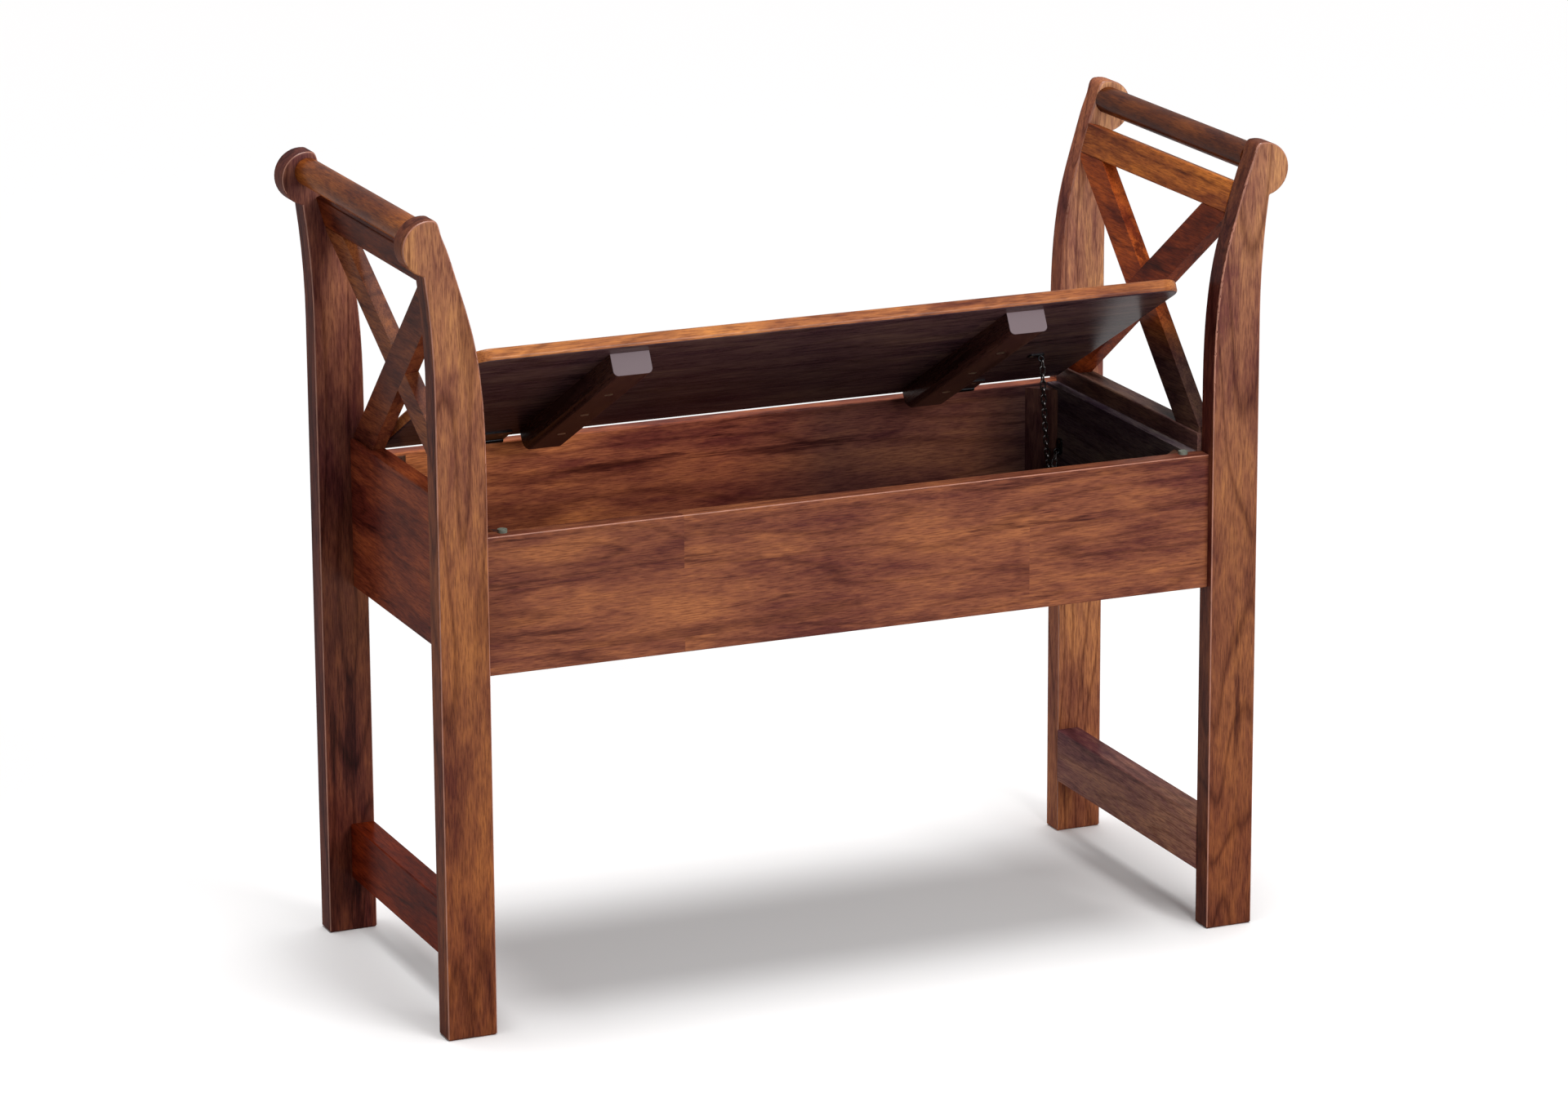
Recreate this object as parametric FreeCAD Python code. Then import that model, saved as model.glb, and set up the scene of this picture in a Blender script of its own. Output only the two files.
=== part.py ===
import FreeCAD, Part
import math
import os

os.makedirs("parts", exist_ok=True)

# Frame sizes in millimetres
foot_span = 820
frame_depth = 356
leg_width = 48
leg_thickness = 25
leg_round = 2.2
notch_round = 1.5
foot_bevel = 1.8

# Leg curve: how far above the box rim each edge leaves the upright, and the scroll it runs into
inner_lean_rise = 52
outer_lean_rise = 132
scroll_radius = 25.5
scroll_height = 738.5
scroll_overhang = 1.5
scroll_meet_turn = 97
scroll_notch_turn = -76
scroll_crown_turn = 20
inner_height_shares = (0.36, 0.558, 0.678, 0.798, 0.902, 0.952)
inner_swing_shares = (0.065, 0.22, 0.384, 0.571, 0.746, 0.84)

# Arm rails and crossed braces
round_rail_radius = 13
round_rail_rise = 6.5
round_tenon_radius = 8
tenon_length = 10
arm_setback = 1
brace_thickness = 13.5
brace_width = 33
brace_corner_setback = 20
flat_rail_lean = 16
flat_rail_height = 30
flat_rail_thickness = 14
rail_gap = 8
flat_rail_swing_share = 0.45
flat_rail_tenon_share = 0.6
rail_round = 1.6

# Stretchers near the floor
stretcher_low = 53
stretcher_height = 54
stretcher_thickness = 24
stretcher_tenon_share = 0.5

# Storage box
rim_height = 468
front_board_height = 129.5
front_board_thickness = 18
front_board_inset = 9
end_panel_step = 3
end_panel_rise = 18
end_panel_thickness = 19
end_panel_set_in = 4
end_tenon_height_share = 0.43
end_tenon_thickness_share = 0.45
lining_thickness = 11
lining_step = 8
bottom_step = 15
bottom_thickness = 8
groove_depth = 5
corner_block_size = 24
corner_block_drop = 3
board_round = 1.5

# Dowels between the boards and the legs
dowel_radius = 4
dowel_length = 28
dowel_height_shares = (0.13, 0.88)
dowel_setback = 6

# Lid
lid_end_gap = 3
lid_thickness = 12.5
lid_front_setback = 3
lid_rear_setback = 14.5
lid_rest_gap = 3.4
lid_corner_radius = 20
lid_round = 3.5
lid_open_turn = 28
batten_place_share = 0.558
batten_width = 38
batten_depth = 21
batten_end_clearance = 5
batten_rear_setback = 9.5
batten_nose = 13
batten_round = 5
batten_screw_shares = (0.26, 0.52, 0.77)
batten_screw_radius = 4.2
batten_screw_shank = 2
batten_screw_length = 28
batten_screw_bore = 3
screw_head_height = 2.4
slot_depth = 1.2
slot_width = 1

# Rubber pads on the front rim
bumper_radius = 4.5
bumper_height = 3.2
bumper_end_setback = 21
bumper_front_setback = 12

# Hinges
hinge_outboard = 48
hinge_width = 40
knuckle_radius = 2.6
hinge_pin_radius = 1.3
hinge_pin_clearance = 0.06
hinge_set_in = 2
leaf_thickness = 1.4
leaf_reach = 18
lid_leaf_reach = 30
knuckle_count = 3
knuckle_gap = 0.3
hinge_screw_radius = 2.6
hinge_screw_shank = 1.2
hinge_screw_length = 9
hinge_screw_shares = (0.22, 0.78)
hinge_screw_reach_share = 0.62
lid_screw_reach_share = 0.74
hinge_screw_head = 1.1

# Stay chain and its two plates
chain_lid_inset = 60
chain_lid_rear_setback = 98.5
chain_box_rear_setback = 31
chain_box_drop = 58
plate_length = 16
plate_width = 9
plate_thickness = 1.5
eye_radius = 2.6
wire_radius = 0.85
link_length = 11.5
link_width = 6.4
link_gap = 0.25
link_count = 23
plate_screw_radius = 2
plate_screw_shank = 1
plate_screw_length = 8
plate_screw_head = 1
plate_screw_share = 0.2
plate_eye_share = 0.78

fit_gap = 0.15
overrun = 5

# Places that follow from the sizes above
half_span = foot_span / 2
half_depth = frame_depth / 2
leg_inner = half_span - leg_width
bay_half = half_depth - leg_thickness
scroll_x = half_span + scroll_overhang
inner_lean_start = rim_height + inner_lean_rise
outer_lean_start = rim_height + outer_lean_rise
board_outer = half_depth - front_board_inset
board_inner = board_outer - front_board_thickness
board_low = rim_height - front_board_height
end_panel_low = board_low + end_panel_step
end_panel_top = rim_height + end_panel_rise
lining_low = board_low + lining_step
bottom_low = board_low + bottom_step
end_panel_inner = leg_inner - end_panel_set_in
end_panel_outer = end_panel_inner + end_panel_thickness
lining_inner = end_panel_inner - lining_thickness
arm_foot_x = end_panel_inner + arm_setback
round_rail_z = scroll_height + round_rail_rise
scroll_turn = math.radians(scroll_meet_turn)
scroll_meet_x = scroll_x + scroll_radius * math.cos(scroll_turn)
scroll_meet_z = scroll_height + scroll_radius * math.sin(scroll_turn)
flat_rail_x = leg_inner + (scroll_meet_x - leg_inner) * flat_rail_swing_share
flat_rail_rise = flat_rail_height * math.cos(math.radians(flat_rail_lean))
flat_rail_z = round_rail_z - round_rail_radius - rail_gap - flat_rail_rise
arm_lean = math.degrees(math.atan2(flat_rail_x - arm_foot_x, flat_rail_z - end_panel_top))
arm_opening_height = math.hypot(flat_rail_x - arm_foot_x, flat_rail_z - end_panel_top)
brace_reach = math.hypot(arm_opening_height, bay_half * 2) + brace_width * 2
lid_half_length = end_panel_inner - lid_end_gap
batten_offset = lid_half_length * batten_place_share
pivot_y = board_inner - hinge_set_in
pivot_z = rim_height + knuckle_radius
lid_low = rim_height + lid_rest_gap
lid_top = lid_low + lid_thickness
lid_front = -board_outer + lid_front_setback
lid_rear = board_inner - lid_rear_setback
batten_front = -board_inner + batten_end_clearance
batten_rear = lid_rear - batten_rear_setback
batten_low = lid_low - batten_depth
hinge_x = batten_offset + hinge_outboard
chain_lid_x = lining_inner - chain_lid_inset
chain_lid_y = lid_rear - chain_lid_rear_setback
chain_box_y = board_inner - chain_box_rear_setback
chain_box_z = rim_height - chain_box_drop
link_pitch = link_length - wire_radius * 4 - link_gap
hook_reach = wire_radius + link_gap / 2

X_AXIS = FreeCAD.Vector(1, 0, 0)
Y_AXIS = FreeCAD.Vector(0, 1, 0)
Z_AXIS = FreeCAD.Vector(0, 0, 1)
ORIGIN = FreeCAD.Vector(0, 0, 0)


def block(low, high):
    size = [high[i] - low[i] for i in range(3)]
    return Part.makeBox(size[0], size[1], size[2], FreeCAD.Vector(*low))


def rod(radius, start, end):
    start, end = FreeCAD.Vector(*start), FreeCAD.Vector(*end)
    return Part.makeCylinder(radius, start.distanceToPoint(end), start, end - start)


def mirrored_x(shape):
    return shape.mirror(ORIGIN, X_AXIS)


def mirrored_y(shape):
    return shape.mirror(ORIGIN, Y_AXIS)


def rounded(shape, radius, wanted):
    edges = [e for e in shape.Edges if wanted(e)]
    return shape.makeFillet(radius, edges)


def save(name, solids):
    solids = solids if isinstance(solids, list) else [solids]
    shape = solids[0] if len(solids) == 1 else Part.makeCompound(solids)
    shape.exportStep(os.path.join("parts", name + ".step"))


def along(edge, axis):
    direction = edge.Vertexes[-1].Point - edge.Vertexes[0].Point
    if direction.Length == 0:
        return False
    return abs(abs(direction.normalize().dot(axis)) - 1) < 0.001


# Leaning plane of the braces: its foot is on the end panel, and its head swings out to the flat rail
def leaned(shape):
    shape = shape.copy()
    shape.rotate(ORIGIN, Y_AXIS, arm_lean)
    shape.translate(FreeCAD.Vector(arm_foot_x, 0, end_panel_top))
    return shape


# The flat rail leans further, along the curve of the legs
def leaned_as_rail(shape):
    shape = shape.copy()
    shape.rotate(ORIGIN, Y_AXIS, flat_rail_lean)
    shape.translate(FreeCAD.Vector(flat_rail_x, 0, flat_rail_z))
    return shape


# Point on the rim of the scroll at a turn from its outermost point
def scroll_point(turn):
    angle = math.radians(turn)
    return scroll_x + scroll_radius * math.cos(angle), scroll_height + scroll_radius * math.sin(angle)


# Outline of the right front leg, seen from the front
def leg_outline():
    def at(x, z):
        return FreeCAD.Vector(x, -half_depth, z)
    meet = scroll_meet_x, scroll_meet_z
    rise, swing = meet[1] - inner_lean_start, meet[0] - leg_inner
    inner_points = [at(leg_inner, inner_lean_start)]
    for height_share, swing_share in zip(inner_height_shares, inner_swing_shares):
        x, z = leg_inner + swing * swing_share, inner_lean_start + rise * height_share
        inner_points.append(at(x, z))
    inner_points.append(at(*meet))
    inner_curve = Part.BSplineCurve()
    inner_curve.interpolate(Points=inner_points, InitialTangent=Z_AXIS,
                            FinalTangent=FreeCAD.Vector(math.sin(scroll_turn), 0, -math.cos(scroll_turn)))
    notch = scroll_point(scroll_notch_turn)
    swing, rise = notch[0] - half_span, notch[1] - outer_lean_start
    lean_radius = (swing ** 2 + rise ** 2) / (2 * swing)
    middle = math.asin(rise / lean_radius) / 2
    x = half_span + lean_radius * (1 - math.cos(middle))
    z = outer_lean_start + lean_radius * math.sin(middle)
    outer_curve = Part.Arc(at(half_span, outer_lean_start), at(x, z), at(*notch))
    scroll_curve = Part.Arc(at(*notch), at(*scroll_point(scroll_crown_turn)), at(*meet))
    edges = [
        Part.makeLine(at(leg_inner, 0), at(half_span, 0)),
        Part.makeLine(at(half_span, 0), at(half_span, outer_lean_start)),
        outer_curve.toShape(),
        scroll_curve.toShape(),
        inner_curve.toShape(),
        Part.makeLine(at(leg_inner, inner_lean_start), at(leg_inner, 0)),
    ]
    return Part.Wire(Part.__sortEdges__(edges))


def leg_blank():
    leg = Part.Face(leg_outline()).extrude(FreeCAD.Vector(0, leg_thickness, 0))
    notch_x, notch_z = scroll_point(scroll_notch_turn)

    def in_notch(edge):
        place = edge.Vertexes[0]
        return along(edge, Y_AXIS) and math.hypot(place.X - notch_x, place.Z - notch_z) < fit_gap
    leg = rounded(leg, notch_round, in_notch)

    def on_face(edge):
        flat = abs(edge.Vertexes[0].Y - edge.Vertexes[-1].Y) < fit_gap
        return flat and not along(edge, X_AXIS)
    leg = rounded(leg, leg_round, on_face)
    low_edges = [e for e in leg.Edges if max(v.Z for v in e.Vertexes) < fit_gap]
    return leg.makeChamfer(foot_bevel, low_edges)


# Joint shapes at the rear face of the right front leg; gap grows one to cut its socket
def round_tenon(gap):
    start = (scroll_x, -bay_half - tenon_length - gap, round_rail_z)
    return rod(round_tenon_radius + gap, start, (scroll_x, -bay_half + overrun, round_rail_z))


def end_panel_tenon(gap):
    thickness = end_panel_thickness * end_tenon_thickness_share
    height = (end_panel_top - end_panel_low) * end_tenon_height_share
    middle_z = (board_low + rim_height) / 2
    low_x = (leg_inner + end_panel_outer - thickness) / 2
    return block((low_x - gap, -bay_half - tenon_length - gap, middle_z - height / 2 - gap),
                 (low_x + thickness + gap, -bay_half + overrun, middle_z + height / 2 + gap))


def stretcher_tenon(gap):
    thickness = stretcher_thickness * stretcher_tenon_share
    height = stretcher_height * stretcher_tenon_share
    low_x = leg_inner + (stretcher_thickness - thickness) / 2
    middle_z = stretcher_low + stretcher_height / 2
    return block((low_x - gap, -bay_half - tenon_length - gap, middle_z - height / 2 - gap),
                 (low_x + thickness + gap, -bay_half + overrun, middle_z + height / 2 + gap))


def flat_rail_tenon(gap):
    thickness = flat_rail_thickness * flat_rail_tenon_share
    height = flat_rail_height * flat_rail_tenon_share
    low_x, low_z = (flat_rail_thickness - thickness) / 2, (flat_rail_height - height) / 2
    low = (low_x - gap, -bay_half - tenon_length - gap, low_z - gap)
    high = (low_x + thickness + gap, -bay_half + overrun, low_z + height + gap)
    return leaned_as_rail(block(low, high))


def dowel(height_share, gap):
    middle_y = -board_outer + dowel_setback
    z = board_low + front_board_height * height_share
    reach = dowel_length / 2 + gap
    return rod(dowel_radius + gap, (leg_inner - reach, middle_y, z), (leg_inner + reach, middle_y, z))


def leg():
    shape = leg_blank()
    tenons = [round_tenon, end_panel_tenon, stretcher_tenon, flat_rail_tenon]
    sockets = [tenon(fit_gap) for tenon in tenons]
    sockets += [dowel(share, fit_gap) for share in dowel_height_shares]
    return shape.cut(sockets)


def dowels():
    front = [dowel(share, 0) for share in dowel_height_shares]
    return front + [mirrored_x(d) for d in front]


# Round hand rail between the scrolls of one arm
def round_rail():
    rail = rod(round_rail_radius, (scroll_x, -bay_half, round_rail_z), (scroll_x, bay_half, round_rail_z))
    return rail.fuse([round_tenon(0), mirrored_y(round_tenon(0))]).removeSplitter()


# Flat rail under the hand rail
def flat_rail():
    rail = block((0, -bay_half, 0), (flat_rail_thickness, bay_half, flat_rail_height))
    rail = leaned_as_rail(rounded(rail, rail_round, lambda e: along(e, Y_AXIS)))
    return rail.fuse([flat_rail_tenon(0), mirrored_y(flat_rail_tenon(0))]).removeSplitter()


# Straight bar crossing the arm opening from corner to corner, before its lap is cut
def brace_bar(sign, low_x, high_x):
    bar = block((low_x, -brace_reach / 2, -brace_width / 2), (high_x, brace_reach / 2, brace_width / 2))
    turn = math.degrees(math.atan2(arm_opening_height, (bay_half - brace_corner_setback) * 2))
    bar.rotate(ORIGIN, X_AXIS, sign * turn)
    bar.translate(FreeCAD.Vector(0, 0, arm_opening_height / 2))
    return bar


# The two braces of an arm, ending against the rail's underside; the one rising forwards runs through on one side
def braces(kept_side):
    half = brace_thickness / 2
    rising = brace_bar(-1, 0, brace_thickness)
    falling = brace_bar(1, 0, brace_thickness)
    first, second = (half, brace_thickness), (0, half)
    if kept_side == "outer":
        first, second = second, first
    rising_lap = rising.cut(brace_bar(1, *first))
    falling_lap = falling.cut(brace_bar(-1, *second))
    ceiling = leaned_as_rail(block((-brace_reach, -bay_half, -brace_reach), (brace_reach, bay_half, 0)))
    room = block((0, -bay_half, end_panel_top), (foot_span, bay_half, scroll_height))
    return [leaned(bar).common(ceiling).common(room) for bar in (rising_lap, falling_lap)]


def stretcher():
    bar = block((leg_inner, -bay_half, stretcher_low),
                (leg_inner + stretcher_thickness, bay_half, stretcher_low + stretcher_height))
    bar = rounded(bar, rail_round, lambda e: along(e, Y_AXIS))
    return bar.fuse([stretcher_tenon(0), mirrored_y(stretcher_tenon(0))]).removeSplitter()


def end_panel_body():
    return block((end_panel_inner, -bay_half, end_panel_low), (end_panel_outer, bay_half, end_panel_top))


def end_panel():
    panel = rounded(end_panel_body(), rail_round, lambda e: along(e, Y_AXIS))
    return panel.fuse([end_panel_tenon(0), mirrored_y(end_panel_tenon(0))]).removeSplitter()


# Floor of the box, held in grooves on all four sides
def bottom_panel(gap):
    half_x = lining_inner + groove_depth + gap
    half_y = board_inner + groove_depth + gap
    return block((-half_x, -half_y, bottom_low - gap), (half_x, half_y, bottom_low + bottom_thickness + gap))


def front_board():
    board = block((-leg_inner, -board_outer, board_low), (leg_inner, -board_inner, rim_height))
    board = rounded(board, board_round, lambda e: along(e, X_AXIS))
    cuts = [end_panel_body(), mirrored_x(end_panel_body()), bottom_panel(fit_gap)]
    for share in dowel_height_shares:
        cuts += [dowel(share, fit_gap), mirrored_x(dowel(share, fit_gap))]
    return board.cut(cuts)


def lining():
    panel = block((lining_inner, -board_inner, lining_low), (end_panel_inner, board_inner, rim_height))
    return panel.cut(bottom_panel(fit_gap))


# Three-sided glue block standing in an inside corner of the box
def corner_block():
    low_z, top_z = bottom_low + bottom_thickness, rim_height - corner_block_drop
    corner = FreeCAD.Vector(lining_inner, -board_inner, low_z)
    points = [corner, corner - X_AXIS * corner_block_size, corner + Y_AXIS * corner_block_size, corner]
    return Part.Face(Part.makePolygon(points)).extrude(FreeCAD.Vector(0, 0, top_z - low_z))


def corner_blocks():
    first = corner_block()
    pair = [first, mirrored_x(first)]
    return pair + [mirrored_y(piece) for piece in pair]


# The lid and all it carries are drawn shut, then swung open about the hinge line
def swung(shape):
    shape = shape.copy()
    shape.rotate(FreeCAD.Vector(0, pivot_y, pivot_z), X_AXIS, -lid_open_turn)
    return shape


# Countersunk screw: straight-sided head and shank, with a driver slot; it points along the given axis
def screw(place, axis, head_radius, head_height, shank_radius, length):
    place, axis = FreeCAD.Vector(*place), FreeCAD.Vector(*axis)
    head = Part.makeCone(head_radius, shank_radius, head_height, place, axis)
    shank = Part.makeCylinder(shank_radius, length, place, axis)
    return head.fuse(shank).removeSplitter()


def screw_hole(place, axis, head_radius, head_height, shank_radius, length):
    place, axis = FreeCAD.Vector(*place), FreeCAD.Vector(*axis)
    wide, narrow = head_radius + fit_gap, shank_radius + fit_gap
    head = Part.makeCone(wide, narrow, head_height + fit_gap, place, axis)
    mouth = Part.makeCylinder(wide, overrun, place - axis * overrun, axis)
    shank = Part.makeCylinder(narrow, length + fit_gap, place, axis)
    return head.fuse([mouth, shank])


def slotted(shape, place, axis, head_radius):
    place, axis = FreeCAD.Vector(*place), FreeCAD.Vector(*axis)
    slot = Part.makeBox(head_radius * 2 + overrun, slot_width, slot_depth * 2)
    slot.translate(FreeCAD.Vector(-head_radius - overrun / 2, -slot_width / 2, -slot_depth))
    slot.Placement = FreeCAD.Placement(place, FreeCAD.Rotation(Z_AXIS, axis)).multiply(slot.Placement)
    return shape.cut(slot)


def batten_screw_places():
    y_run = batten_rear - batten_front
    places = []
    for x in (-batten_offset, batten_offset):
        for share in batten_screw_shares:
            places.append((x, batten_front + y_run * share, batten_low))
    return places


def batten_screw_size():
    return batten_screw_radius, screw_head_height, batten_screw_shank, batten_screw_length


def batten_screws():
    screws = []
    for place in batten_screw_places():
        shape = screw(place, (0, 0, 1), *batten_screw_size())
        screws.append(swung(slotted(shape, place, (0, 0, 1), batten_screw_radius)))
    return screws


def batten(x):
    low = (x - batten_width / 2, batten_front, batten_low)
    high = (x + batten_width / 2, batten_rear, lid_low)
    bar = block(low, high)

    def rear_low(edge):
        return along(edge, X_AXIS) and all(v.Y > 0 and v.Z < lid_low - fit_gap for v in edge.Vertexes)

    def low_side(edge):
        return along(edge, Y_AXIS) and all(v.Z < lid_low - fit_gap for v in edge.Vertexes)
    bar = rounded(bar, batten_nose, rear_low)
    bar = rounded(bar, batten_round, low_side)
    holes = [screw_hole(place, (0, 0, 1), *batten_screw_size()) for place in batten_screw_places()]
    return bar.cut(holes)


# Board of the lid with its two round front corners, and the screw holes in its underside
def lid_panel():
    board = block((-lid_half_length, lid_front, lid_low), (lid_half_length, lid_rear, lid_top))

    def front_corner(edge):
        return along(edge, Z_AXIS) and edge.Vertexes[0].Y < 0
    board = rounded(board, lid_corner_radius, front_corner)

    def outline(edge):
        level = abs(edge.Vertexes[0].Z - edge.Vertexes[-1].Z) < fit_gap
        return level and edge.CenterOfMass.y < lid_rear - fit_gap
    board = rounded(board, lid_round, outline)
    holes = [screw_hole(place, (0, 0, 1), *batten_screw_size()) for place in batten_screw_places()]
    for side in (-1, 1):
        holes += [screw_hole(p, (0, 0, 1), *hinge_screw_size()) for p in lid_leaf_screw_places(side)]
    holes.append(screw_hole(lid_plate_screw_place(), (0, 0, 1), *plate_screw_size()))
    return board.cut(holes)


def hinge_screw_size():
    return hinge_screw_radius, hinge_screw_head, hinge_screw_shank, hinge_screw_length


def leaf_screw_x(side, share):
    return side * (hinge_x + hinge_width * (share - 0.5))


def frame_leaf_screw_places(side):
    y = pivot_y + leaf_reach * hinge_screw_reach_share
    return [(leaf_screw_x(side, share), y, rim_height + leaf_thickness) for share in hinge_screw_shares]


def lid_leaf_screw_places(side):
    y = pivot_y - lid_leaf_reach * lid_screw_reach_share
    return [(leaf_screw_x(side, share), y, lid_low - leaf_thickness) for share in hinge_screw_shares]


# Span along the hinge line of one of its knuckles
def knuckle_span(side, number):
    start = side * hinge_x - hinge_width / 2
    step = hinge_width / knuckle_count
    low, high = start + step * number, start + step * (number + 1)
    return low + knuckle_gap / 2, high - knuckle_gap / 2


def knuckle(side, number):
    low, high = knuckle_span(side, number)
    return rod(knuckle_radius, (low, pivot_y, pivot_z), (high, pivot_y, pivot_z))


def pin_bore(side, gap):
    reach = hinge_width / 2 + overrun
    start, end = side * hinge_x - reach, side * hinge_x + reach
    return rod(hinge_pin_radius + gap, (start, pivot_y, pivot_z), (end, pivot_y, pivot_z))


# A leaf is set clear of the other leaf's knuckle by a notch round it
def knuckle_notch(side, number):
    low, high = knuckle_span(side, number)
    low, high = low - knuckle_gap, high + knuckle_gap
    return rod(knuckle_radius + knuckle_gap, (low, pivot_y, pivot_z), (high, pivot_y, pivot_z))


def frame_leaf(side):
    middle = side * hinge_x
    plate = block((middle - hinge_width / 2, pivot_y, rim_height),
                  (middle + hinge_width / 2, pivot_y + leaf_reach, rim_height + leaf_thickness))
    plate = plate.cut(knuckle_notch(side, 1))
    leaf = plate.fuse([knuckle(side, 0), knuckle(side, 2)]).cut(pin_bore(side, hinge_pin_clearance))
    holes = [screw_hole(p, (0, 0, -1), *hinge_screw_size()) for p in frame_leaf_screw_places(side)]
    return leaf.cut(holes).removeSplitter()


def lid_leaf(side):
    middle = side * hinge_x
    plate = block((middle - hinge_width / 2, pivot_y - lid_leaf_reach, lid_low - leaf_thickness),
                  (middle + hinge_width / 2, pivot_y, lid_low))
    plate = plate.cut([knuckle_notch(side, 0), knuckle_notch(side, 2)])
    leaf = plate.fuse(knuckle(side, 1)).cut(pin_bore(side, hinge_pin_clearance))
    holes = [screw_hole(p, (0, 0, 1), *hinge_screw_size()) for p in lid_leaf_screw_places(side)]
    return swung(leaf.cut(holes).removeSplitter())


def hinge_pin(side):
    half = hinge_width / 2
    start, end = side * hinge_x - half, side * hinge_x + half
    return rod(hinge_pin_radius, (start, pivot_y, pivot_z), (end, pivot_y, pivot_z))


def frame_hinge_screws():
    screws = []
    for side in (-1, 1):
        for place in frame_leaf_screw_places(side):
            shape = screw(place, (0, 0, -1), *hinge_screw_size())
            screws.append(slotted(shape, place, (0, 0, -1), hinge_screw_radius))
    return screws


def lid_hinge_screws():
    screws = []
    for side in (-1, 1):
        for place in lid_leaf_screw_places(side):
            shape = screw(place, (0, 0, 1), *hinge_screw_size())
            screws.append(swung(slotted(shape, place, (0, 0, 1), hinge_screw_radius)))
    return screws


def back_board():
    board = mirrored_y(front_board())
    holes = []
    for side in (-1, 1):
        holes += [screw_hole(p, (0, 0, -1), *hinge_screw_size()) for p in frame_leaf_screw_places(side)]
    return board.cut(holes)


# Rubber pads the shut lid comes down on
def bumpers():
    y = -board_outer + bumper_front_setback
    x = leg_inner - bumper_end_setback
    top = rim_height + bumper_height
    return [rod(bumper_radius, (s * x, y, rim_height), (s * x, y, top)) for s in (-1, 1)]


def plate_screw_size():
    return plate_screw_radius, plate_screw_head, plate_screw_shank, plate_screw_length


# Chain plate drawn flat on the ground: long way along X, fixed side down, with an eye standing on it
def chain_plate():
    reach, side = plate_length / 2, plate_width / 2
    plate = block((-reach, -side, 0), (reach, side, plate_thickness))
    plate = rounded(plate, plate_width / 3, lambda e: along(e, Z_AXIS))
    eye_x = plate_length * (plate_eye_share - 0.5)
    eye_middle = FreeCAD.Vector(eye_x, 0, plate_thickness + eye_radius)
    eye = Part.makeTorus(eye_radius, wire_radius, eye_middle, Y_AXIS)
    hole_x = plate_length * (plate_screw_share - 0.5)
    hole = screw_hole((hole_x, 0, plate_thickness), (0, 0, -1), *plate_screw_size())
    return plate.fuse(eye).cut(hole).removeSplitter()


def lid_plate_placement():
    place = FreeCAD.Vector(chain_lid_x, chain_lid_y, lid_low)
    return FreeCAD.Placement(place, FreeCAD.Rotation(X_AXIS, 180))


def box_plate_placement():
    place = FreeCAD.Vector(lining_inner, chain_box_y, chain_box_z)
    turn = FreeCAD.Rotation(Y_AXIS, -90).multiply(FreeCAD.Rotation(Z_AXIS, 180))
    return FreeCAD.Placement(place, turn)


def plate_point(placement, share, height):
    local = FreeCAD.Vector(plate_length * (share - 0.5), 0, height)
    point = placement.multVec(local)
    return point.x, point.y, point.z


def lid_plate_screw_place():
    return plate_point(lid_plate_placement(), plate_screw_share, plate_thickness)


def box_plate_screw_place():
    return plate_point(box_plate_placement(), plate_screw_share, plate_thickness)


def lid_chain_plate():
    shape = chain_plate()
    shape.Placement = lid_plate_placement().multiply(shape.Placement)
    return swung(shape)


def box_chain_plate():
    shape = chain_plate()
    shape.Placement = box_plate_placement().multiply(shape.Placement)
    return shape


def lid_plate_screw():
    place = lid_plate_screw_place()
    shape = screw(place, (0, 0, 1), *plate_screw_size())
    return swung(slotted(shape, place, (0, 0, 1), plate_screw_radius))


def box_plate_screw():
    place = box_plate_screw_place()
    shape = screw(place, (1, 0, 0), *plate_screw_size())
    return slotted(shape, place, (1, 0, 0), plate_screw_radius)


def right_lining():
    hole = screw_hole(box_plate_screw_place(), (1, 0, 0), *plate_screw_size())
    return lining().cut(hole)


# One oval chain link lying along X with its opening facing Z
def chain_link():
    straight = (link_length - link_width) / 2
    ring = link_width / 2 - wire_radius
    right, left = FreeCAD.Vector(straight, 0, 0), FreeCAD.Vector(-straight, 0, 0)
    up = Y_AXIS * ring
    edges = [
        Part.makeLine(left + up, right + up),
        Part.Arc(right + up, right + X_AXIS * ring, right - up).toShape(),
        Part.makeLine(right - up, left - up),
        Part.Arc(left - up, left - X_AXIS * ring, left + up).toShape(),
    ]
    path = Part.Wire(edges)
    section = Part.Wire(Part.makeCircle(wire_radius, left + up, X_AXIS))
    return path.makePipeShell([section], True, False)


# Where the chain's line starts at an eye: past the wire that faces the way the chain leaves
def hook_point(middle, away, turn):
    facing = turn.inverted().multVec(away)
    facing = FreeCAD.Vector(facing.x, 0, facing.z).normalize()
    return middle + turn.multVec(facing) * eye_radius - away * hook_reach


# Curve that the slack chain hangs in between its two eyes, for a given sag
def hanging_points(sag):
    in_plate = FreeCAD.Vector(plate_length * (plate_eye_share - 0.5), 0, plate_thickness + eye_radius)
    turn = FreeCAD.Rotation(X_AXIS, -lid_open_turn)
    pivot = FreeCAD.Vector(0, pivot_y, pivot_z)
    lid_eye = pivot + turn.multVec(lid_plate_placement().multVec(in_plate) - pivot)
    box_eye = box_plate_placement().multVec(in_plate)
    span, fall = box_eye - lid_eye, Z_AXIS * (sag * 4)
    start = hook_point(lid_eye, (span - fall).normalize(), turn)
    end = hook_point(box_eye, (-span - fall).normalize(), FreeCAD.Rotation())
    steps = link_count * 12
    points = []
    for number in range(steps + 1):
        share = number / steps
        drop = sag * 4 * share * (1 - share)
        points.append(start + (end - start) * share - Z_AXIS * drop)
    return points


def walked(points, distance):
    travelled = 0
    for first, second in zip(points, points[1:]):
        step = first.distanceToPoint(second)
        if travelled + step >= distance:
            return first + (second - first) * ((distance - travelled) / step)
        travelled += step
    return points[-1]


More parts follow.
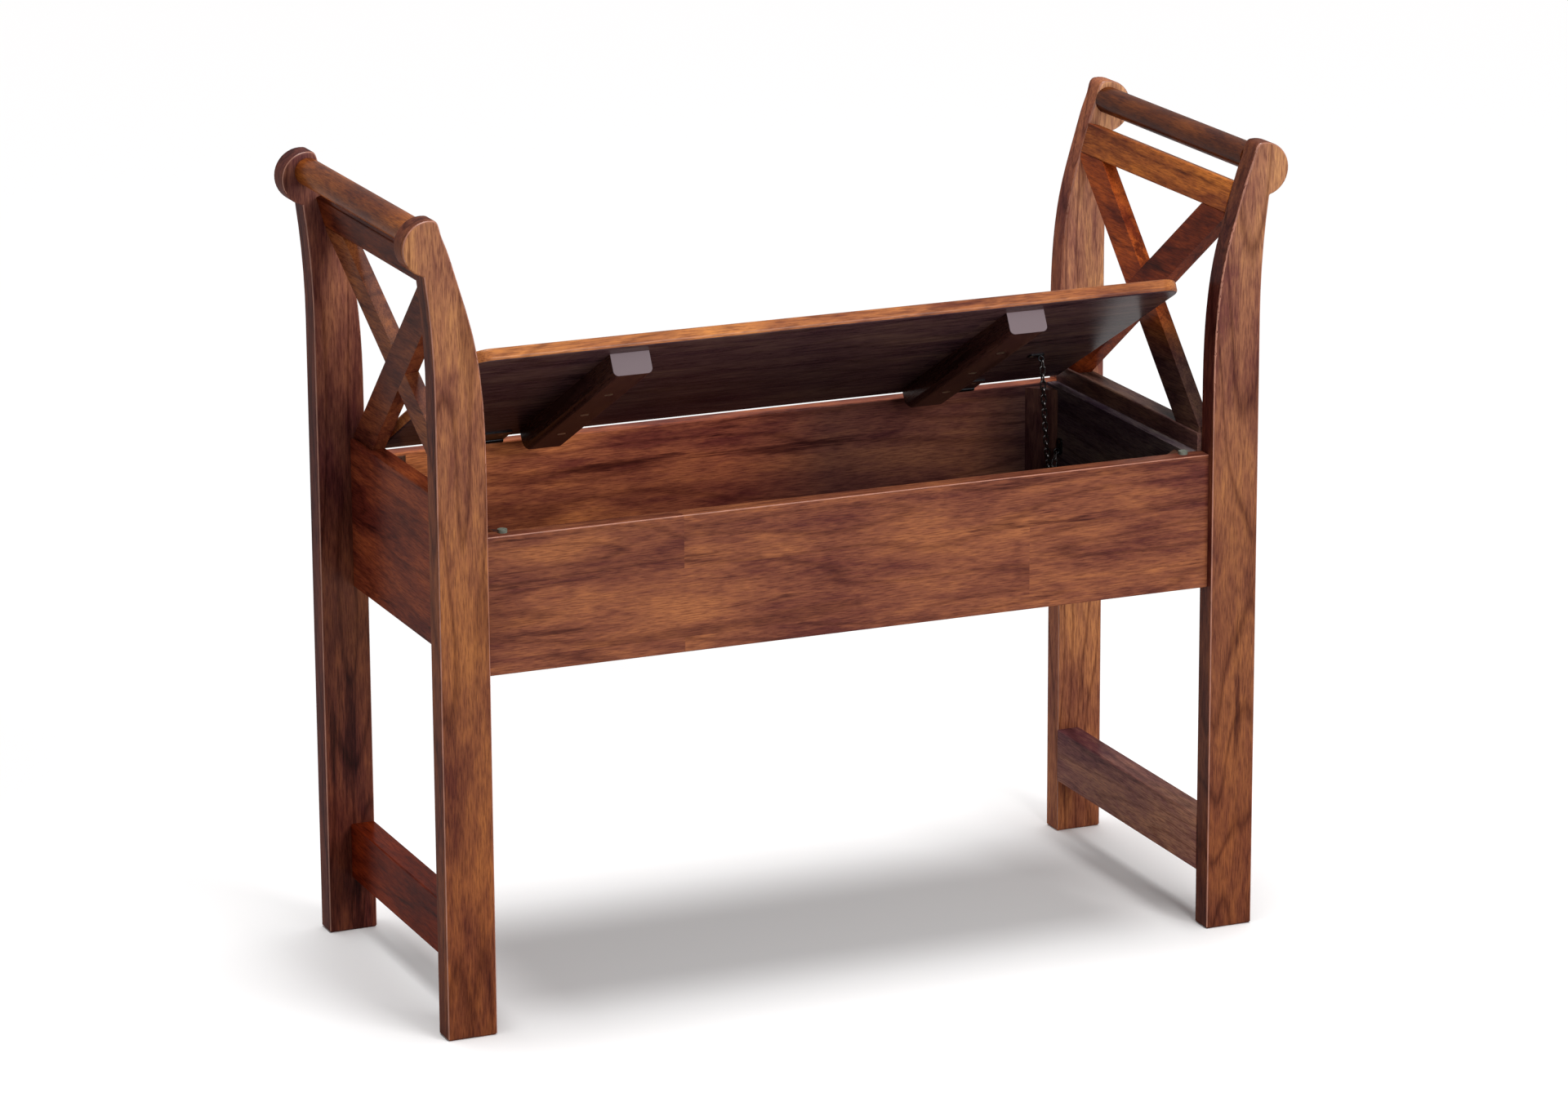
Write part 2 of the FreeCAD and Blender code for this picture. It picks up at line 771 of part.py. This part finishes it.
def chain_points():
    wanted = link_pitch * link_count
    low, high = 0, wanted
    for _ in range(40):
        sag = (low + high) / 2
        points = hanging_points(sag)
        length = sum(a.distanceToPoint(b) for a, b in zip(points, points[1:]))
        low, high = (sag, high) if length < wanted else (low, sag)
    return points


def stay_chain():
    points = chain_points()
    links = []
    for number in range(link_count):
        start = walked(points, link_pitch * number)
        end = walked(points, link_pitch * (number + 1))
        link = chain_link()
        if number % 2:
            link.rotate(ORIGIN, X_AXIS, 90)
        turn = FreeCAD.Rotation(end - start, Y_AXIS, X_AXIS, "XZY")
        link.Placement = FreeCAD.Placement((start + end) / 2, turn).multiply(link.Placement)
        links.append(link)
    return links


right_leg = leg()
save("leg_front_right", right_leg)
save("leg_front_left", mirrored_x(right_leg))
save("leg_rear_right", mirrored_y(right_leg))
save("leg_rear_left", mirrored_y(mirrored_x(right_leg)))
for name, shape in (("arm_round_rail", round_rail()), ("arm_flat_rail", flat_rail()),
                    ("stretcher", stretcher()), ("end_panel", end_panel())):
    save(name + "_right", shape)
    save(name + "_left", mirrored_x(shape))
right_rising, right_falling = braces("inner")
left_rising, left_falling = [mirrored_x(bar) for bar in braces("outer")]
save("brace_rising_right", right_rising)
save("brace_falling_right", right_falling)
save("brace_rising_left", left_rising)
save("brace_falling_left", left_falling)
save("box_front_board", front_board())
save("box_back_board", back_board())
save("box_lining_right", right_lining())
save("box_lining_left", mirrored_x(lining()))
save("box_bottom_panel", bottom_panel(0))
save("box_corner_blocks", corner_blocks())
save("front_board_dowels", dowels())
save("back_board_dowels", [mirrored_y(d) for d in dowels()])
save("lid_bumpers", bumpers())
save("lid_panel", swung(lid_panel()))
save("lid_batten_left", swung(batten(-batten_offset)))
save("lid_batten_right", swung(batten(batten_offset)))
save("batten_screws", batten_screws())
for side, word in ((-1, "left"), (1, "right")):
    save("hinge_frame_leaf_" + word, frame_leaf(side))
    save("hinge_lid_leaf_" + word, lid_leaf(side))
    save("hinge_pin_" + word, hinge_pin(side))
save("hinge_frame_screws", frame_hinge_screws())
save("hinge_lid_screws", lid_hinge_screws())
save("chain_plate_lid", lid_chain_plate())
save("chain_plate_box", box_chain_plate())
save("chain_plate_lid_screw", lid_plate_screw())
save("chain_plate_box_screw", box_plate_screw())
save("stay_chain", stay_chain())
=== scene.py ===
import bpy
import bmesh
import math
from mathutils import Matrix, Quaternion, Vector


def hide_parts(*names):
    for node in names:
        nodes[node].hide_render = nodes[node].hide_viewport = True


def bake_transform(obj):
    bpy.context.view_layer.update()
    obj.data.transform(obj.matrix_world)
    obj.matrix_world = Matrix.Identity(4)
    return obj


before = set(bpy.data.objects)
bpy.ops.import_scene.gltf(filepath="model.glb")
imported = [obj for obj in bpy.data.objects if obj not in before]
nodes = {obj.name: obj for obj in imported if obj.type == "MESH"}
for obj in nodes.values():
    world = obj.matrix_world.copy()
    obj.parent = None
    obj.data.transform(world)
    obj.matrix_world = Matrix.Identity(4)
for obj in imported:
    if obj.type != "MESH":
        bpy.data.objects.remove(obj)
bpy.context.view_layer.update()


# The four legs: solid hardwood sawn to a curve with a scroll at the top, edges rounded over and lacquered, with
# the grain up the leg and pointed arches where the saw met the growth rings. The paler tops are a painted
# sheen, the darker redder narrow sides are painted shade, and the pale arrises are a painted highlight.
def lacquered_wood(name, grain_turn, grain_start, mid_tone, ring_count=12, ring_share=0.6, mottle=1,
                   streaks_from=0.62, staves=None, gloss=0.12, fade=None, sides=None, patch=None):
    material = bpy.data.materials.new(name)
    material.use_nodes = True
    tree = material.node_tree
    new, link = tree.nodes.new, tree.links.new
    shader = tree.nodes["Principled BSDF"]
    place = new("ShaderNodeTexCoord")
    turned = new("ShaderNodeMapping")
    turned.inputs["Rotation"].default_value = grain_turn
    turned.inputs["Location"].default_value = grain_start
    link(place.outputs["Object"], turned.inputs["Vector"])
    grain_place = turned.outputs["Vector"]

    def cloud(along, across, detail, rough):
        stretched = new("ShaderNodeMapping")
        stretched.inputs["Scale"].default_value = (along, across, across)
        link(grain_place, stretched.inputs["Vector"])
        noise = new("ShaderNodeTexNoise")
        noise.inputs["Scale"].default_value = 1
        noise.inputs["Detail"].default_value = detail
        noise.inputs["Roughness"].default_value = rough
        link(stretched.outputs["Vector"], noise.inputs["Vector"])
        return noise.outputs["Fac"]

    def ramp(source, stops):
        tones = new("ShaderNodeValToRGB")
        elements = tones.color_ramp.elements
        while len(elements) < len(stops):
            elements.new(0.5)
        for element, (spot, tone) in zip(elements, stops):
            element.position = spot
            element.color = (*tone, 1)
        link(source, tones.inputs["Fac"])
        return tones.outputs["Color"]

    def mixed(kind, share, first, second):
        mix = new("ShaderNodeMix")
        mix.data_type = "RGBA"
        mix.blend_type = kind
        for socket, sort, value in (("Factor", "VALUE", share), ("A", "RGBA", first), ("B", "RGBA", second)):
            into = next(entry for entry in mix.inputs if entry.name == socket and entry.type == sort)
            if hasattr(value, "links"):
                link(value, into)
            else:
                into.default_value = value
        return next(entry for entry in mix.outputs if entry.type == "RGBA")

    def worked_out(operation, source, number=0):
        calculation = new("ShaderNodeMath")
        calculation.operation = operation
        calculation.inputs[1].default_value = number
        link(source, calculation.inputs[0])
        return calculation.outputs["Value"]

    def split(vector):
        parts = new("ShaderNodeSeparateXYZ")
        link(vector, parts.inputs["Vector"])
        return parts.outputs

    # A glued-up board: each length has its own tone, and its figure is taken from another part of the log.
    if staves:
        stave_length, stave_width = staves
        stagger, jump_in_the_log = 0.37, (3.1, 1.7, 0.9)
        bricks = new("ShaderNodeTexBrick")
        bricks.inputs["Color1"].default_value = (0, 0, 0, 1)
        bricks.inputs["Color2"].default_value = (1, 1, 1, 1)
        bricks.inputs["Mortar Size"].default_value = 0
        bricks.inputs["Scale"].default_value = 1
        bricks.inputs["Brick Width"].default_value = stave_length
        bricks.inputs["Row Height"].default_value = stave_width
        bricks.offset = stagger
        link(grain_place, bricks.inputs["Vector"])
        stave_tone = bricks.outputs["Color"]
        shifted = new("ShaderNodeVectorMath")
        shifted.operation = "MULTIPLY_ADD"
        shifted.inputs[1].default_value = jump_in_the_log
        link(stave_tone, shifted.inputs[0])
        link(grain_place, shifted.inputs[2])
        grain_place = shifted.outputs["Vector"]

    rings = cloud(along=1.5, across=11, detail=2, rough=0.42)
    growth = worked_out("FRACT", worked_out("MULTIPLY", rings, ring_count))
    blotch = cloud(along=5 * mottle, across=17 * mottle, detail=5, rough=0.66)
    figure = cloud(along=18, across=120, detail=5, rough=0.7)
    fibre = cloud(along=70, across=900, detail=3, rough=0.62)
    streak = cloud(along=3, across=44, detail=5, rough=0.68)

    figure_share, fibre_share, streak_share, stave_share = 0.33, 0.9, 0.85, 0.16
    streak_edge = 0.05
    dark_tone = [part * share for part, share in zip(mid_tone, (0.5, 0.4, 0.58))]
    light_tone = [part * share for part, share in zip(mid_tone, (1.5, 1.64, 1.3))]
    ground_tones = ((0.39, dark_tone), (0.5, mid_tone), (0.61, light_tone))
    ring_tones = ((0, (0.66, 0.6, 0.6)), (0.1, (1.06, 1.06, 1.04)), (0.8, (0.98, 0.97, 0.97)),
                  (0.96, (0.5, 0.42, 0.42)), (1, (0.66, 0.6, 0.6)))
    fibre_tones = ((0.36, (0.6, 0.54, 0.58)), (0.5, (1, 1, 1)), (0.62, (1.25, 1.26, 1.15)))
    streak_tones = ((streaks_from, (1, 1, 1)), (streaks_from + streak_edge, (0.34, 0.26, 0.32)))
    stave_tones = ((0, (0.62, 0.58, 0.6)), (1, (1.36, 1.4, 1.3)))

    colour = ramp(mixed("MIX", figure_share, blotch, figure), ground_tones)
    colour = mixed("MULTIPLY", ring_share, colour, ramp(growth, ring_tones))
    colour = mixed("MULTIPLY", fibre_share, colour, ramp(fibre, fibre_tones))
    colour = mixed("MULTIPLY", streak_share, colour, ramp(streak, streak_tones))
    if staves:
        colour = mixed("MULTIPLY", stave_share, colour, ramp(stave_tone, stave_tones))

    # Painted light and shade that change along the piece, and the tint for the faces that look another way.
    if fade:
        axis, start, stops = fade
        tint = ramp(worked_out("SUBTRACT", split(place.outputs["Object"])[axis], start), stops)
        if sides:
            operation, number, side_tint = sides
            facing = worked_out(operation, split(place.outputs["Normal"])["Y"], number)
            tint = mixed("MIX", facing, (*side_tint, 1), tint)
        colour = mixed("MULTIPLY", 1, colour, tint)

    # Painted shade and sheen, each on one face, below a level across the grain or along it.
    if patch:
        axis, edge, kind, face_tone = patch
        below = worked_out("LESS_THAN", split(turned.outputs["Vector"])[axis], edge)
        colour = mixed(kind, below, colour, (*face_tone, 1))

    pore_depth, pore_strength = 0.0006, 0.12
    relief = new("ShaderNodeBump")
    relief.inputs["Strength"].default_value = pore_strength
    relief.inputs["Distance"].default_value = pore_depth
    link(fibre, relief.inputs["Height"])
    link(relief.outputs["Normal"], shader.inputs["Normal"])
    link(colour, shader.inputs["Base Color"])
    shader.inputs["Roughness"].default_value = 0.5
    shader.inputs["Specular IOR Level"].default_value = 0
    shader.inputs["Coat Weight"].default_value = gloss
    shader.inputs["Coat Roughness"].default_value = 0.25
    return material


def speckled(name, colour, roughness, metallic=0, speckles_per_metre=350):
    speckle_tones = ((0.35, 0.75), (0.65, 1.25))
    speckle_depth, speckle_strength = 0.0002, 0.1
    material = bpy.data.materials.new(name)
    material.use_nodes = True
    tree = material.node_tree
    new, link = tree.nodes.new, tree.links.new
    shader = tree.nodes["Principled BSDF"]
    place = new("ShaderNodeTexCoord")
    noise = new("ShaderNodeTexNoise")
    noise.inputs["Scale"].default_value = speckles_per_metre
    noise.inputs["Detail"].default_value = 4
    tones = new("ShaderNodeValToRGB")
    for element, (spot, share) in zip(tones.color_ramp.elements, speckle_tones):
        element.position = spot
        element.color = (*(part * share for part in colour), 1)
    relief = new("ShaderNodeBump")
    relief.inputs["Strength"].default_value = speckle_strength
    relief.inputs["Distance"].default_value = speckle_depth
    link(place.outputs["Object"], noise.inputs["Vector"])
    link(noise.outputs["Fac"], tones.inputs["Fac"])
    link(tones.outputs["Color"], shader.inputs["Base Color"])
    link(noise.outputs["Fac"], relief.inputs["Height"])
    link(relief.outputs["Normal"], shader.inputs["Normal"])
    shader.inputs["Metallic"].default_value = metallic
    shader.inputs["Roughness"].default_value = roughness
    return material


def finish_node(name, material, arris_highlight=None):
    mesh = nodes[name].data
    mesh.materials.clear()
    mesh.materials.append(material)
    # The rounded arrises can take a second material, a painted highlight.
    if arris_highlight:
        side_ends, front_starts, underside_ends = 0.5, 0.88, -0.3
        mesh.materials.append(arris_highlight)
        for polygon in mesh.polygons:
            on_the_arris = side_ends < abs(polygon.normal.y) < front_starts
            polygon.material_index = int(on_the_arris and polygon.normal.z > underside_ends)


up_the_leg = (0, math.radians(90), 0)
# Each leg's tone is partly the wood's own and partly painted light and shade.
leg_woods = {
    "leg_front_left": ((0.3, 0.11, 0.4), (0.212, 0.073, 0.032)),
    "leg_front_right": ((1.7, 0.42, 0.93), (0.19, 0.068, 0.033)),
    "leg_rear_left": ((2.9, 0.77, 0.2), (0.17, 0.054, 0.033)),
    "leg_rear_right": ((4.3, 0.21, 1.4), (0.4, 0.162, 0.084)),
}
# Painted sheen: each leg is paler towards its top and darker towards its foot.
painted_sheen_to_the_top = ("Z", 0, ((0.08, (0.78, 0.63, 0.6)), (0.4, (1, 1, 1)), (0.74, (1.38, 1.68, 2.0))))
# Painted shade: the narrow side faces of the legs are darker and redder.
painted_shade_on_the_sides = ("ABSOLUTE", 0, (0.78, 0.63, 0.7))
# Painted highlight: a pale band along the rounded arrises of the legs and the front board.
painted_arris_highlight = speckled("painted_arris_highlight", (0.34, 0.14, 0.09), roughness=0.3, speckles_per_metre=60)
for name, (grain_start, mid_tone) in leg_woods.items():
    leg_wood = lacquered_wood(
        name + "_wood", up_the_leg, grain_start, mid_tone, ring_count=16, ring_share=0.85,
        fade=painted_sheen_to_the_top, sides=painted_shade_on_the_sides)
    finish_node(name, leg_wood, painted_arris_highlight)


# The two arms: a turned round hand rail between the scrolls, a flat rail under it, and two straight braces
# that cross in a half lap, all of the same lacquered hardwood with the grain along the length. The dark foot
# of the falling brace at the right is painted shade.
along_the_arm = (0, 0, math.radians(-90))
# Each piece's tone is partly the wood's own and partly painted light and shade.
arm_woods = {
    "arm_round_rail_left": ((0.7, 2.1, 0.3), (0.22, 0.057, 0.013)),
    "arm_round_rail_right": ((5.1, 0.6, 1.3), (0.11, 0.026, 0.007)),
    "arm_flat_rail_left": ((3.3, 1.2, 0.8), (0.12, 0.023, 0.008)),
    "arm_flat_rail_right": ((1.9, 0.3, 2.6), (0.385, 0.11, 0.027)),
    "brace_rising_left": ((2.2, 0.9, 0.1), (0.14, 0.035, 0.017)),
    "brace_falling_left": ((6.4, 1.8, 0.5), (0.2, 0.058, 0.024)),
    "brace_rising_right": ((4.8, 2.4, 0.7), (0.205, 0.036, 0.011)),
    "brace_falling_right": ((0.2, 1.5, 1.9), (0.35, 0.07, 0.016)),
}
hand_polished, brushed = 0.2, 0.12
# Painted shade: the foot of the falling brace at the right goes dark.
painted_shade_to_the_foot = {"brace_falling_right": (
    "Z", 0, ((0.535, (0.22, 0.5, 1.8)), (0.56, (0.38, 0.56, 0.9)), (0.585, (1, 1, 1))))}
for name, (grain_start, mid_tone) in arm_woods.items():
    finish_node(name, lacquered_wood(
        name + "_wood", along_the_arm, grain_start, mid_tone, mottle=2.2,
        gloss=hand_polished if "round" in name else brushed, fade=painted_shade_to_the_foot.get(name)))


# Two stretchers, flat bars of the same hardwood between the front and back legs. They are tenoned into the
# legs near the floor, with the grain along the bar.
stretcher_woods = {
    "stretcher_left": ((0.4, 3.0, 0.6), (0.15, 0.018, 0.005)),
    # The right stretcher's pale grey tone is a painted sheen.
    "stretcher_right": ((2.7, 0.8, 2.2), (0.33, 0.14, 0.11)),
}
for name, (grain_start, mid_tone) in stretcher_woods.items():
    finish_node(name, lacquered_wood(name + "_wood", along_the_arm, grain_start, mid_tone))


# The two end panels of the box: single wide boards of the same hardwood, with the grain running front to
# back. They are tenoned between the front and back legs.
end_panel_woods = {
    "end_panel_left": ((1.1, 0.2, 0.9), (0.205, 0.042, 0.018)),
    # The right panel's dark grey tone is painted shade from the inside of the box.
    "end_panel_right": ((3.6, 1.9, 0.4), (0.135, 0.066, 0.058)),
}
for name, (grain_start, mid_tone) in end_panel_woods.items():
    finish_node(name, lacquered_wood(name + "_wood", along_the_arm, grain_start, mid_tone))


# The long front and back boards of the box, lacquered and dowelled to the legs. The front one is glued up from
# short lengths in two rows, so that its colour steps, with dark streaks, and its top arrises have a painted
# highlight. The back one is a single board, and its inner face has painted light to the left and painted
# shade to the right.
flat_to_the_front = (math.radians(-90), 0, 0)
finish_node("box_front_board", lacquered_wood(
    "front_board_wood", flat_to_the_front, grain_start=(0.17, 0.037, 0.5), mid_tone=(0.187, 0.06, 0.032),
    streaks_from=0.59, staves=(0.55, 0.065)), painted_arris_highlight)
back_board_left = -0.4
# Painted light to the left and painted shade to the right on the inner face; the outer face stays plain.
painted_light_and_shade_inside = ("X", back_board_left, (
    (0.2, (1, 1, 1)), (0.4, (0.7, 0.63, 0.76)), (0.51, (0.26, 0.3, 0.52)),
    (0.66, (0.36, 0.41, 0.62)), (0.73, (0.12, 0.19, 0.45))))
plain_outside = ("MULTIPLY", -1, (0.65, 0.6, 0.67))
finish_node("box_back_board", lacquered_wood(
    "back_board_wood", flat_to_the_front, grain_start=(2.4, 0.037, 1.5), mid_tone=(0.4, 0.12, 0.055),
    fade=painted_light_and_shade_inside, sides=plain_outside))


# Inside of the box: end linings that stand in from the end panels as a ledge, a thin bottom let into grooves,
# three-sided glue blocks in the corners, and bare pale dowels that hold the boards to the legs. The dark tones
# of the wood in here are painted shade.
lining_woods = {
    "box_lining_left": ((0.9, 4.1, 0.2), (0.09, 0.027, 0.014)),
    "box_lining_right": ((3.0, 2.6, 1.2), (0.11, 0.08, 0.09)),
}
for name, (grain_start, mid_tone) in lining_woods.items():
    finish_node(name, lacquered_wood(name + "_wood", along_the_arm, grain_start, mid_tone))
along_the_box = (0, 0, 0)
finish_node("box_bottom_panel", lacquered_wood(
    "bottom_panel_wood", along_the_box, grain_start=(0.6, 0.8, 0.1), mid_tone=(0.085, 0.026, 0.013)))
finish_node("box_corner_blocks", lacquered_wood(
    "corner_block_wood", up_the_leg, grain_start=(0.2, 0.5, 0.7), mid_tone=(0.07, 0.03, 0.024)))
dowel_wood = speckled("bare_dowel_wood", (0.56, 0.4, 0.24), roughness=0.7)
finish_node("front_board_dowels", dowel_wood)
finish_node("back_board_dowels", dowel_wood)


# The lid: a board glued up from five lengths with rounded front corners, and two stout battens with rounded
# arrises screwed across its underside. The almost black underside is painted shade, the pale batten ends are a
# painted sheen, and the lid's bright tone is partly a painted highlight for its front edge.
lid_opening = math.radians(28)
lid_underside = 0.4872
# Painted shade: the lid's underside is almost black.
painted_shade_underside = ("Z", lid_underside, "MULTIPLY", (0.196, 0.28, 0.82))
finish_node("lid_panel", lacquered_wood(
    "lid_wood", (lid_opening, 0, 0), grain_start=(0.4, 0, 0), mid_tone=(0.33, 0.114, 0.041),
    staves=(0.9, 0.06), gloss=0.3, patch=painted_shade_underside))
along_the_batten = (lid_opening, 0, math.radians(-90))
batten_front_end = -0.3834
for name, along_the_log in (("lid_batten_left", 2), ("lid_batten_right", 3.4)):
    # Painted sheen: each batten's front end is pale lilac-grey.
    painted_sheen_end = ("X", along_the_log + batten_front_end, "MIX", (0.18, 0.134, 0.146))
    finish_node(name, lacquered_wood(
        name + "_wood", along_the_batten, grain_start=(along_the_log, 0.3, 0.4),
        mid_tone=(0.044, 0.016, 0.014), gloss=0.5, patch=painted_sheen_end))


# Two small round pads that the shut lid comes down on, of grey-green rubber. They are glued on the rim of the
# box, near its two front corners.
finish_node("lid_bumpers", speckled("pad_rubber", (0.13, 0.14, 0.11), roughness=0.55))


# Two butt hinges of blackened steel, screwed to the back board's top and under the lid; the same steel makes
# the two chain plates. The screws are dark bronze. Both metals are guessed from dark shapes and pale marks.
black_steel = speckled("black_steel", (0.03, 0.03, 0.033), roughness=0.35, metallic=1)
for side in ("left", "right"):
    for piece in ("hinge_frame_leaf_", "hinge_lid_leaf_", "hinge_pin_"):
        finish_node(piece + side, black_steel)
for name in ("chain_plate_lid", "chain_plate_box"):
    finish_node(name, black_steel)
bronze = speckled("dark_bronze", (0.3, 0.22, 0.15), roughness=0.35, metallic=1)
for name in ("hinge_frame_screws", "hinge_lid_screws", "batten_screws",
             "chain_plate_lid_screw", "chain_plate_box_screw"):
    finish_node(name, bronze)


# The stay chain: oval links of dark wire between the eye under the lid and the eye in the box. It hangs slack
# here.
weld_distance = 0.00001
chain_mesh = nodes["stay_chain"].data.copy()
work = bmesh.new()
work.from_mesh(chain_mesh)
bmesh.ops.remove_doubles(work, verts=work.verts, dist=weld_distance)
for face in work.faces:
    face.smooth = True
work.to_mesh(chain_mesh)
work.free()
chain = bpy.data.objects.new("stay_chain_links", chain_mesh)
bpy.context.scene.collection.objects.link(chain)
chain_mesh.materials.clear()
chain_mesh.materials.append(speckled("chain_wire", (0.16, 0.15, 0.15), roughness=0.32, metallic=1))
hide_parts("stay_chain")
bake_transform(chain)


# The studio: a white floor that keeps the soft shadow, a white sky, a soft lamp in front and a hazy sun above.
# The floor and the sky look white to the camera and in the lacquer, and throw a softer light on the bench.
def white_where_seen(tree, plain, seen_as, output):
    new, link = tree.nodes.new, tree.links.new
    light_path = new("ShaderNodeLightPath")
    either = new("ShaderNodeMath")
    any_of = new("ShaderNodeMath")
    either.operation = any_of.operation = "MAXIMUM"
    chosen = new("ShaderNodeMixShader")
    link(light_path.outputs["Is Camera Ray"], either.inputs[0])
    link(light_path.outputs["Is Glossy Ray"], either.inputs[1])
    link(either.outputs["Value"], any_of.inputs[0])
    link(light_path.outputs["Is Transmission Ray"], any_of.inputs[1])
    link(any_of.outputs["Value"], chosen.inputs[0])
    link(plain.outputs[0], chosen.inputs[1])
    link(seen_as.outputs[0], chosen.inputs[2])
    link(chosen.outputs[0], new(output).inputs["Surface"])


floor_half_width = 30
floor_mesh = bpy.data.meshes.new("studio_floor")
work = bmesh.new()
bmesh.ops.create_grid(work, x_segments=1, y_segments=1, size=floor_half_width)
work.to_mesh(floor_mesh)
work.free()
studio_floor = bpy.data.objects.new("studio_floor", floor_mesh)
bpy.context.scene.collection.objects.link(studio_floor)

floor_paint = bpy.data.materials.new("floor_paint")
floor_paint.use_nodes = True
tree = floor_paint.node_tree
tree.nodes.clear()
pale = tree.nodes.new("ShaderNodeBsdfDiffuse")
pale.inputs["Color"].default_value = (0.6, 0.58, 0.57, 1)
white = tree.nodes.new("ShaderNodeBsdfDiffuse")
white.inputs["Color"].default_value = (0.905, 0.897, 0.897, 1)
glow = tree.nodes.new("ShaderNodeEmission")
glow.inputs["Strength"].default_value = 0.07
white_with_glow = tree.nodes.new("ShaderNodeAddShader")
tree.links.new(white.outputs[0], white_with_glow.inputs[0])
tree.links.new(glow.outputs[0], white_with_glow.inputs[1])
white_where_seen(tree, pale, white_with_glow, "ShaderNodeOutputMaterial")
floor_mesh.materials.append(floor_paint)

sky = bpy.data.worlds.new("studio_sky")
bpy.context.scene.world = sky
sky.use_nodes = True
tree = sky.node_tree
tree.nodes.clear()
soft_sky = tree.nodes.new("ShaderNodeBackground")
soft_sky.inputs["Strength"].default_value = 0.16
white_sky = tree.nodes.new("ShaderNodeBackground")
white_sky.inputs["Strength"].default_value = 1
for background in (soft_sky, white_sky):
    background.inputs["Color"].default_value = (1, 1, 1, 1)
white_where_seen(tree, soft_sky, white_sky, "ShaderNodeOutputWorld")

lamp_place, lamp_aim = Vector((0.5, -2.0, 1.15)), Vector((0, 0, 0.45))
lamp = bpy.data.lights.new("key_lamp", "AREA")
lamp.shape = "SQUARE"
lamp.size = 1.2
lamp.energy = 37
key_lamp = bpy.data.objects.new("key_lamp", lamp)
bpy.context.scene.collection.objects.link(key_lamp)
key_lamp.location = lamp_place
key_lamp.visible_camera = False
key_lamp.rotation_euler = (lamp_aim - lamp_place).to_track_quat("-Z", "Y").to_euler()

sun_direction = Vector((0.02, -0.05, -1))
sun = bpy.data.lights.new("high_sun", "SUN")
sun.energy = 2.7
sun.angle = 0.62
high_sun = bpy.data.objects.new("high_sun", sun)
bpy.context.scene.collection.objects.link(high_sun)
high_sun.rotation_euler = sun_direction.to_track_quat("-Z", "Y").to_euler()


# The camera: a long lens from the front left and above, as the bench was photographed. Its angles, distance
# and focal length were fitted to corners measured in the photograph.
azimuth, elevation, roll = math.radians(-23.03), math.radians(15.464), math.radians(-0.32)
distance = 5.656
aim = Vector((0, 0, 0.3681))
back = Vector((
    math.sin(azimuth) * math.cos(elevation),
    -math.cos(azimuth) * math.cos(elevation),
    math.sin(elevation)))
film_width = 36
picture_width, focal_length_in_pixels = 1920, 7324
lens = bpy.data.cameras.new("long_lens")
lens.sensor_width = film_width
lens.lens = focal_length_in_pixels / picture_width * film_width
camera = bpy.data.objects.new("camera", lens)
bpy.context.scene.collection.objects.link(camera)
camera.location = aim + back * distance
camera.rotation_mode = "QUATERNION"
camera.rotation_quaternion = (-back).to_track_quat("-Z", "Y") @ Quaternion((0, 0, 1), roll)
camera.rotation_mode = "XYZ"
bpy.context.scene.camera = camera
bpy.context.scene.view_settings.view_transform = "Standard"
